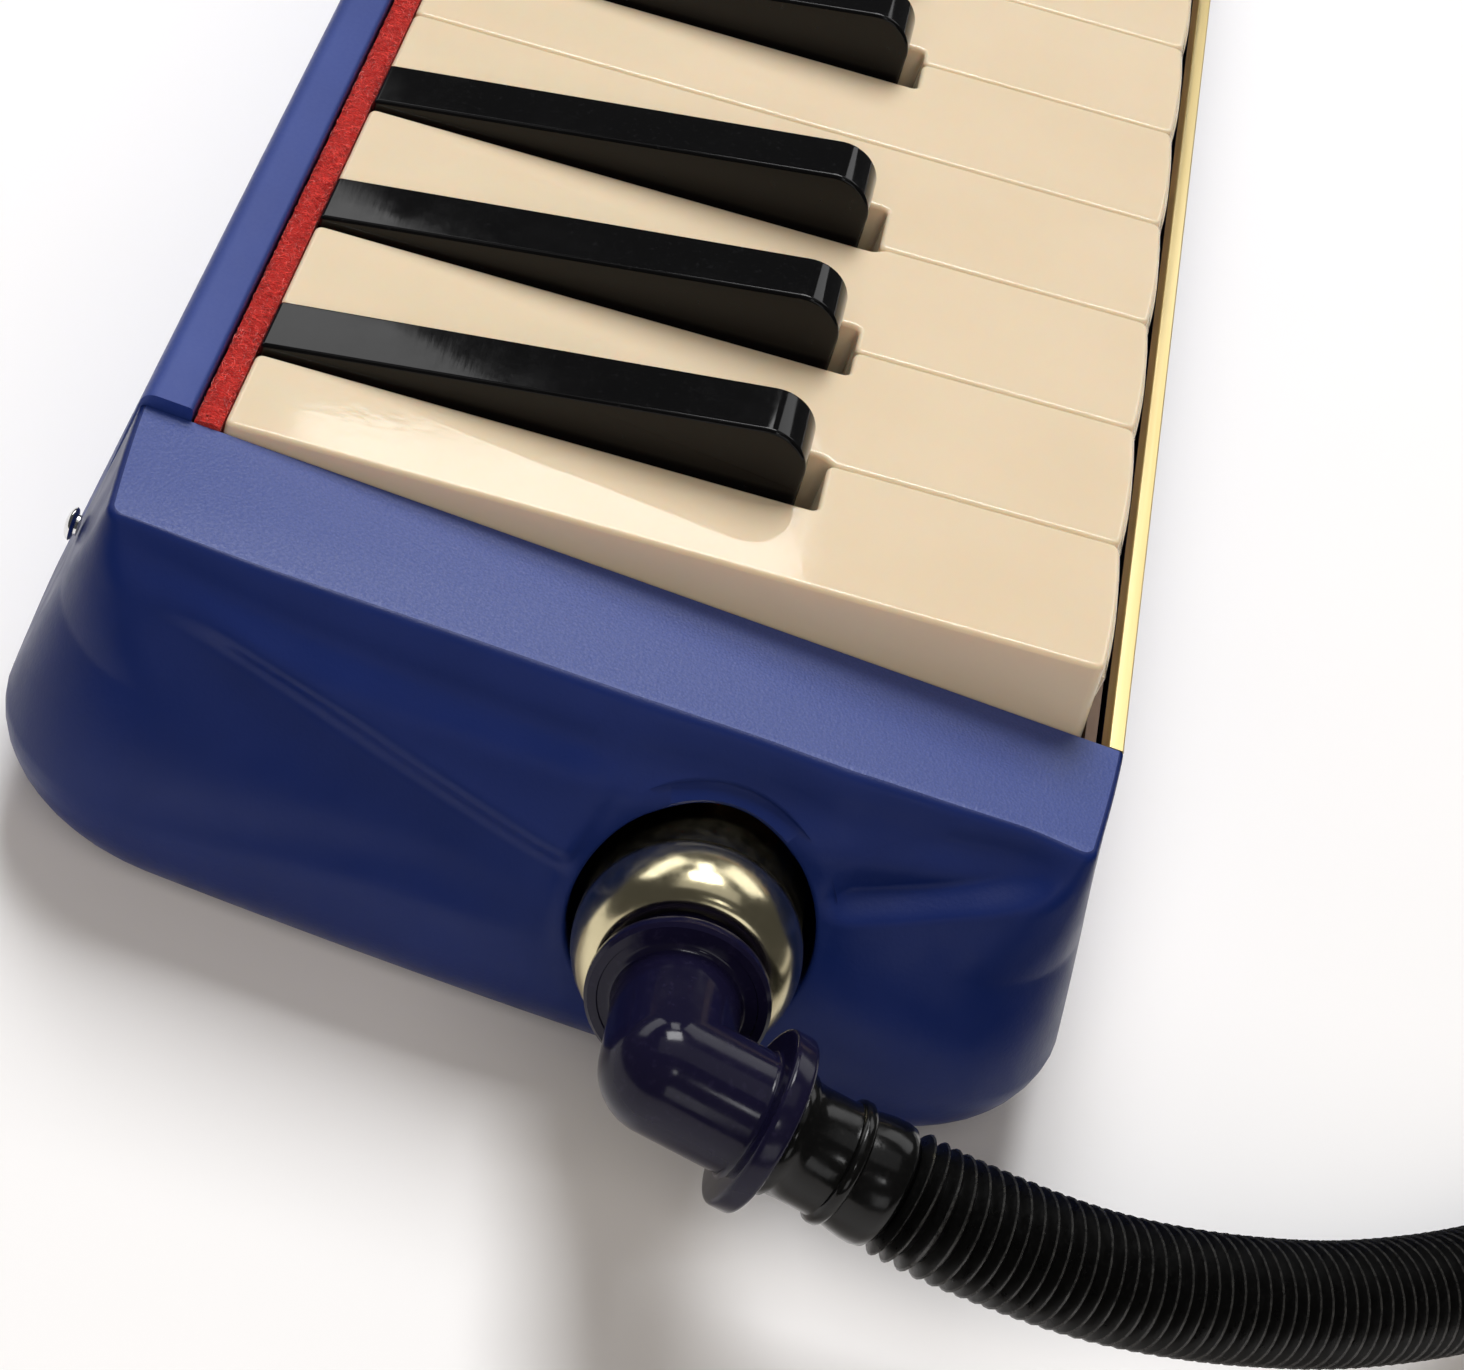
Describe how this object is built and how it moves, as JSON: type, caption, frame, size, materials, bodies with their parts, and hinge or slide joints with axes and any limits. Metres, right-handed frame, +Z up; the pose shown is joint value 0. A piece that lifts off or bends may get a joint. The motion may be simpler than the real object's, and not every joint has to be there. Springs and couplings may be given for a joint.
{
  "type": "melodica",
  "caption": "Mouth-blown free-reed keyboard: sprung white and black keys over a wind chest, rounded end caps, push-in elbow and a corrugated hose with a mouthpiece.",
  "frame": {"origin": "centre of the body's underside, where it stands; the hose, its cuff, the elbow and the mouthpiece are left out of the measure", "axes": "+X along the keyboard toward the treble end, -Y toward the player and the key fronts, +Z up"},
  "size_m": [0.5155, 0.202, 0.0499],
  "materials": {
    "blue_plastic": "satin with fine spark texture on the cap tops",
    "blue_metal": "satin metallic paint",
    "ivory_plastic": "polished",
    "ebony_plastic": "polished top, satin sides",
    "gold_metal": "polished",
    "red_felt": "wool felt",
    "brown_plastic": "satin",
    "spring_steel": "plated",
    "chest_plastic": "satin",
    "brass": "polished",
    "navy_plastic": "polished",
    "black_rubber": "smooth cuff, corrugated hose"
  },
  "bodies": {
    "body": {"bottom_case": "blue_plastic", "top_cover": "blue_metal", "left_end_cap": "blue_plastic", "right_end_cap": "blue_plastic", "front_trim": "gold_metal", "key_felt_strip": "red_felt", "key_bed": "brown_plastic", "key_stop_felt": "red_felt", "key_pivot_rod": "spring_steel", "return_spring_comb": "spring_steel", "wind_chest": "chest_plastic", "air_duct": "black_rubber", "valve_deck": "chest_plastic", "reed_plate_low": "brass", "reed_plate_high": "brass", "joint_socket": "brass", "strap_pin_left": "spring_steel", "strap_pin_right": "spring_steel"},
    "key_F3": {"white_key_F3": "ivory_plastic"},
    "key_Fs3": {"black_key_Fs3": "ebony_plastic"},
    "key_G3": {"white_key_G3": "ivory_plastic"},
    "key_Gs3": {"black_key_Gs3": "ebony_plastic"},
    "key_A3": {"white_key_A3": "ivory_plastic"},
    "key_As3": {"black_key_As3": "ebony_plastic"},
    "key_B3": {"white_key_B3": "ivory_plastic"},
    "key_C4": {"white_key_C4": "ivory_plastic"},
    "key_Cs4": {"black_key_Cs4": "ebony_plastic"},
    "key_D4": {"white_key_D4": "ivory_plastic"},
    "key_Ds4": {"black_key_Ds4": "ebony_plastic"},
    "key_E4": {"white_key_E4": "ivory_plastic"},
    "key_F4": {"white_key_F4": "ivory_plastic"},
    "key_Fs4": {"black_key_Fs4": "ebony_plastic"},
    "key_G4": {"white_key_G4": "ivory_plastic"},
    "key_Gs4": {"black_key_Gs4": "ebony_plastic"},
    "key_A4": {"white_key_A4": "ivory_plastic"},
    "key_As4": {"black_key_As4": "ebony_plastic"},
    "key_B4": {"white_key_B4": "ivory_plastic"},
    "key_C5": {"white_key_C5": "ivory_plastic"},
    "key_Cs5": {"black_key_Cs5": "ebony_plastic"},
    "key_D5": {"white_key_D5": "ivory_plastic"},
    "key_Ds5": {"black_key_Ds5": "ebony_plastic"},
    "key_E5": {"white_key_E5": "ivory_plastic"},
    "key_F5": {"white_key_F5": "ivory_plastic"},
    "key_Fs5": {"black_key_Fs5": "ebony_plastic"},
    "key_G5": {"white_key_G5": "ivory_plastic"},
    "key_Gs5": {"black_key_Gs5": "ebony_plastic"},
    "key_A5": {"white_key_A5": "ivory_plastic"},
    "key_As5": {"black_key_As5": "ebony_plastic"},
    "key_B5": {"white_key_B5": "ivory_plastic"},
    "key_C6": {"white_key_C6": "ivory_plastic"},
    "key_Cs6": {"black_key_Cs6": "ebony_plastic"},
    "key_D6": {"white_key_D6": "ivory_plastic"},
    "key_Ds6": {"black_key_Ds6": "ebony_plastic"},
    "key_E6": {"white_key_E6": "ivory_plastic"},
    "key_F6": {"white_key_F6": "ivory_plastic"},
    "mouth_tube": {"elbow": "navy_plastic", "hose_cuff": "black_rubber", "hose": "black_rubber", "mouthpiece": "navy_plastic"},
    "drain_button": {"drain_button": "chest_plastic"}
  },
  "joints": [
    {"name": "tube_pull", "type": "slide", "parent": "body", "child": "mouth_tube", "axis": [-0.9659, 0, 0.2588], "range_m": [0, 0.01]},
    {"name": "drain_press", "type": "slide", "parent": "body", "child": "drain_button", "axis": [-1, 0, 0], "range_m": [0, 0.0025], "stiffness_N_per_m": 400, "springref_m": -0.004},
    {"name": "press_F3", "type": "hinge", "parent": "body", "child": "key_F3", "pos_m": [-0.2016, 0.028, 0.03], "axis": [1, 0, 0], "range_deg": [0, 4], "stiffness_Nm_per_rad": 0.5, "springref_deg": -5.73},
    {"name": "press_Fs3", "type": "hinge", "parent": "body", "child": "key_Fs3", "pos_m": [-0.1953, 0.028, 0.03], "axis": [1, 0, 0], "range_deg": [0, 5], "stiffness_Nm_per_rad": 0.5, "springref_deg": -5.73},
    {"name": "press_G3", "type": "hinge", "parent": "body", "child": "key_G3", "pos_m": [-0.1824, 0.028, 0.03], "axis": [1, 0, 0], "range_deg": [0, 4], "stiffness_Nm_per_rad": 0.5, "springref_deg": -5.73},
    {"name": "press_Gs3", "type": "hinge", "parent": "body", "child": "key_Gs3", "pos_m": [-0.1728, 0.028, 0.03], "axis": [1, 0, 0], "range_deg": [0, 5], "stiffness_Nm_per_rad": 0.5, "springref_deg": -5.73},
    {"name": "press_A3", "type": "hinge", "parent": "body", "child": "key_A3", "pos_m": [-0.1632, 0.028, 0.03], "axis": [1, 0, 0], "range_deg": [0, 4], "stiffness_Nm_per_rad": 0.5, "springref_deg": -5.73},
    {"name": "press_As3", "type": "hinge", "parent": "body", "child": "key_As3", "pos_m": [-0.1503, 0.028, 0.03], "axis": [1, 0, 0], "range_deg": [0, 5], "stiffness_Nm_per_rad": 0.5, "springref_deg": -5.73},
    {"name": "press_B3", "type": "hinge", "parent": "body", "child": "key_B3", "pos_m": [-0.144, 0.028, 0.03], "axis": [1, 0, 0], "range_deg": [0, 4], "stiffness_Nm_per_rad": 0.5, "springref_deg": -5.73},
    {"name": "press_C4", "type": "hinge", "parent": "body", "child": "key_C4", "pos_m": [-0.1248, 0.028, 0.03], "axis": [1, 0, 0], "range_deg": [0, 4], "stiffness_Nm_per_rad": 0.5, "springref_deg": -5.73},
    {"name": "press_Cs4", "type": "hinge", "parent": "body", "child": "key_Cs4", "pos_m": [-0.1166, 0.028, 0.03], "axis": [1, 0, 0], "range_deg": [0, 5], "stiffness_Nm_per_rad": 0.5, "springref_deg": -5.73},
    {"name": "press_D4", "type": "hinge", "parent": "body", "child": "key_D4", "pos_m": [-0.1056, 0.028, 0.03], "axis": [1, 0, 0], "range_deg": [0, 4], "stiffness_Nm_per_rad": 0.5, "springref_deg": -5.73},
    {"name": "press_Ds4", "type": "hinge", "parent": "body", "child": "key_Ds4", "pos_m": [-0.0946, 0.028, 0.03], "axis": [1, 0, 0], "range_deg": [0, 5], "stiffness_Nm_per_rad": 0.5, "springref_deg": -5.73},
    {"name": "press_E4", "type": "hinge", "parent": "body", "child": "key_E4", "pos_m": [-0.0864, 0.028, 0.03], "axis": [1, 0, 0], "range_deg": [0, 4], "stiffness_Nm_per_rad": 0.5, "springref_deg": -5.73},
    {"name": "press_F4", "type": "hinge", "parent": "body", "child": "key_F4", "pos_m": [-0.0672, 0.028, 0.03], "axis": [1, 0, 0], "range_deg": [0, 4], "stiffness_Nm_per_rad": 0.5, "springref_deg": -5.73},
    {"name": "press_Fs4", "type": "hinge", "parent": "body", "child": "key_Fs4", "pos_m": [-0.0609, 0.028, 0.03], "axis": [1, 0, 0], "range_deg": [0, 5], "stiffness_Nm_per_rad": 0.5, "springref_deg": -5.73},
    {"name": "press_G4", "type": "hinge", "parent": "body", "child": "key_G4", "pos_m": [-0.048, 0.028, 0.03], "axis": [1, 0, 0], "range_deg": [0, 4], "stiffness_Nm_per_rad": 0.5, "springref_deg": -5.73},
    {"name": "press_Gs4", "type": "hinge", "parent": "body", "child": "key_Gs4", "pos_m": [-0.0384, 0.028, 0.03], "axis": [1, 0, 0], "range_deg": [0, 5], "stiffness_Nm_per_rad": 0.5, "springref_deg": -5.73},
    {"name": "press_A4", "type": "hinge", "parent": "body", "child": "key_A4", "pos_m": [-0.0288, 0.028, 0.03], "axis": [1, 0, 0], "range_deg": [0, 4], "stiffness_Nm_per_rad": 0.5, "springref_deg": -5.73},
    {"name": "press_As4", "type": "hinge", "parent": "body", "child": "key_As4", "pos_m": [-0.0159, 0.028, 0.03], "axis": [1, 0, 0], "range_deg": [0, 5], "stiffness_Nm_per_rad": 0.5, "springref_deg": -5.73},
    {"name": "press_B4", "type": "hinge", "parent": "body", "child": "key_B4", "pos_m": [-0.0096, 0.028, 0.03], "axis": [1, 0, 0], "range_deg": [0, 4], "stiffness_Nm_per_rad": 0.5, "springref_deg": -5.73},
    {"name": "press_C5", "type": "hinge", "parent": "body", "child": "key_C5", "pos_m": [0.0096, 0.028, 0.03], "axis": [1, 0, 0], "range_deg": [0, 4], "stiffness_Nm_per_rad": 0.5, "springref_deg": -5.73},
    {"name": "press_Cs5", "type": "hinge", "parent": "body", "child": "key_Cs5", "pos_m": [0.0178, 0.028, 0.03], "axis": [1, 0, 0], "range_deg": [0, 5], "stiffness_Nm_per_rad": 0.5, "springref_deg": -5.73},
    {"name": "press_D5", "type": "hinge", "parent": "body", "child": "key_D5", "pos_m": [0.0288, 0.028, 0.03], "axis": [1, 0, 0], "range_deg": [0, 4], "stiffness_Nm_per_rad": 0.5, "springref_deg": -5.73},
    {"name": "press_Ds5", "type": "hinge", "parent": "body", "child": "key_Ds5", "pos_m": [0.0398, 0.028, 0.03], "axis": [1, 0, 0], "range_deg": [0, 5], "stiffness_Nm_per_rad": 0.5, "springref_deg": -5.73},
    {"name": "press_E5", "type": "hinge", "parent": "body", "child": "key_E5", "pos_m": [0.048, 0.028, 0.03], "axis": [1, 0, 0], "range_deg": [0, 4], "stiffness_Nm_per_rad": 0.5, "springref_deg": -5.73},
    {"name": "press_F5", "type": "hinge", "parent": "body", "child": "key_F5", "pos_m": [0.0672, 0.028, 0.03], "axis": [1, 0, 0], "range_deg": [0, 4], "stiffness_Nm_per_rad": 0.5, "springref_deg": -5.73},
    {"name": "press_Fs5", "type": "hinge", "parent": "body", "child": "key_Fs5", "pos_m": [0.0735, 0.028, 0.03], "axis": [1, 0, 0], "range_deg": [0, 5], "stiffness_Nm_per_rad": 0.5, "springref_deg": -5.73},
    {"name": "press_G5", "type": "hinge", "parent": "body", "child": "key_G5", "pos_m": [0.0864, 0.028, 0.03], "axis": [1, 0, 0], "range_deg": [0, 4], "stiffness_Nm_per_rad": 0.5, "springref_deg": -5.73},
    {"name": "press_Gs5", "type": "hinge", "parent": "body", "child": "key_Gs5", "pos_m": [0.096, 0.028, 0.03], "axis": [1, 0, 0], "range_deg": [0, 5], "stiffness_Nm_per_rad": 0.5, "springref_deg": -5.73},
    {"name": "press_A5", "type": "hinge", "parent": "body", "child": "key_A5", "pos_m": [0.1056, 0.028, 0.03], "axis": [1, 0, 0], "range_deg": [0, 4], "stiffness_Nm_per_rad": 0.5, "springref_deg": -5.73},
    {"name": "press_As5", "type": "hinge", "parent": "body", "child": "key_As5", "pos_m": [0.1185, 0.028, 0.03], "axis": [1, 0, 0], "range_deg": [0, 5], "stiffness_Nm_per_rad": 0.5, "springref_deg": -5.73},
    {"name": "press_B5", "type": "hinge", "parent": "body", "child": "key_B5", "pos_m": [0.1248, 0.028, 0.03], "axis": [1, 0, 0], "range_deg": [0, 4], "stiffness_Nm_per_rad": 0.5, "springref_deg": -5.73},
    {"name": "press_C6", "type": "hinge", "parent": "body", "child": "key_C6", "pos_m": [0.144, 0.028, 0.03], "axis": [1, 0, 0], "range_deg": [0, 4], "stiffness_Nm_per_rad": 0.5, "springref_deg": -5.73},
    {"name": "press_Cs6", "type": "hinge", "parent": "body", "child": "key_Cs6", "pos_m": [0.1522, 0.028, 0.03], "axis": [1, 0, 0], "range_deg": [0, 5], "stiffness_Nm_per_rad": 0.5, "springref_deg": -5.73},
    {"name": "press_D6", "type": "hinge", "parent": "body", "child": "key_D6", "pos_m": [0.1632, 0.028, 0.03], "axis": [1, 0, 0], "range_deg": [0, 4], "stiffness_Nm_per_rad": 0.5, "springref_deg": -5.73},
    {"name": "press_Ds6", "type": "hinge", "parent": "body", "child": "key_Ds6", "pos_m": [0.1742, 0.028, 0.03], "axis": [1, 0, 0], "range_deg": [0, 5], "stiffness_Nm_per_rad": 0.5, "springref_deg": -5.73},
    {"name": "press_E6", "type": "hinge", "parent": "body", "child": "key_E6", "pos_m": [0.1824, 0.028, 0.03], "axis": [1, 0, 0], "range_deg": [0, 4], "stiffness_Nm_per_rad": 0.5, "springref_deg": -5.73},
    {"name": "press_F6", "type": "hinge", "parent": "body", "child": "key_F6", "pos_m": [0.2016, 0.028, 0.03], "axis": [1, 0, 0], "range_deg": [0, 4], "stiffness_Nm_per_rad": 0.5, "springref_deg": -5.73}
  ]
}
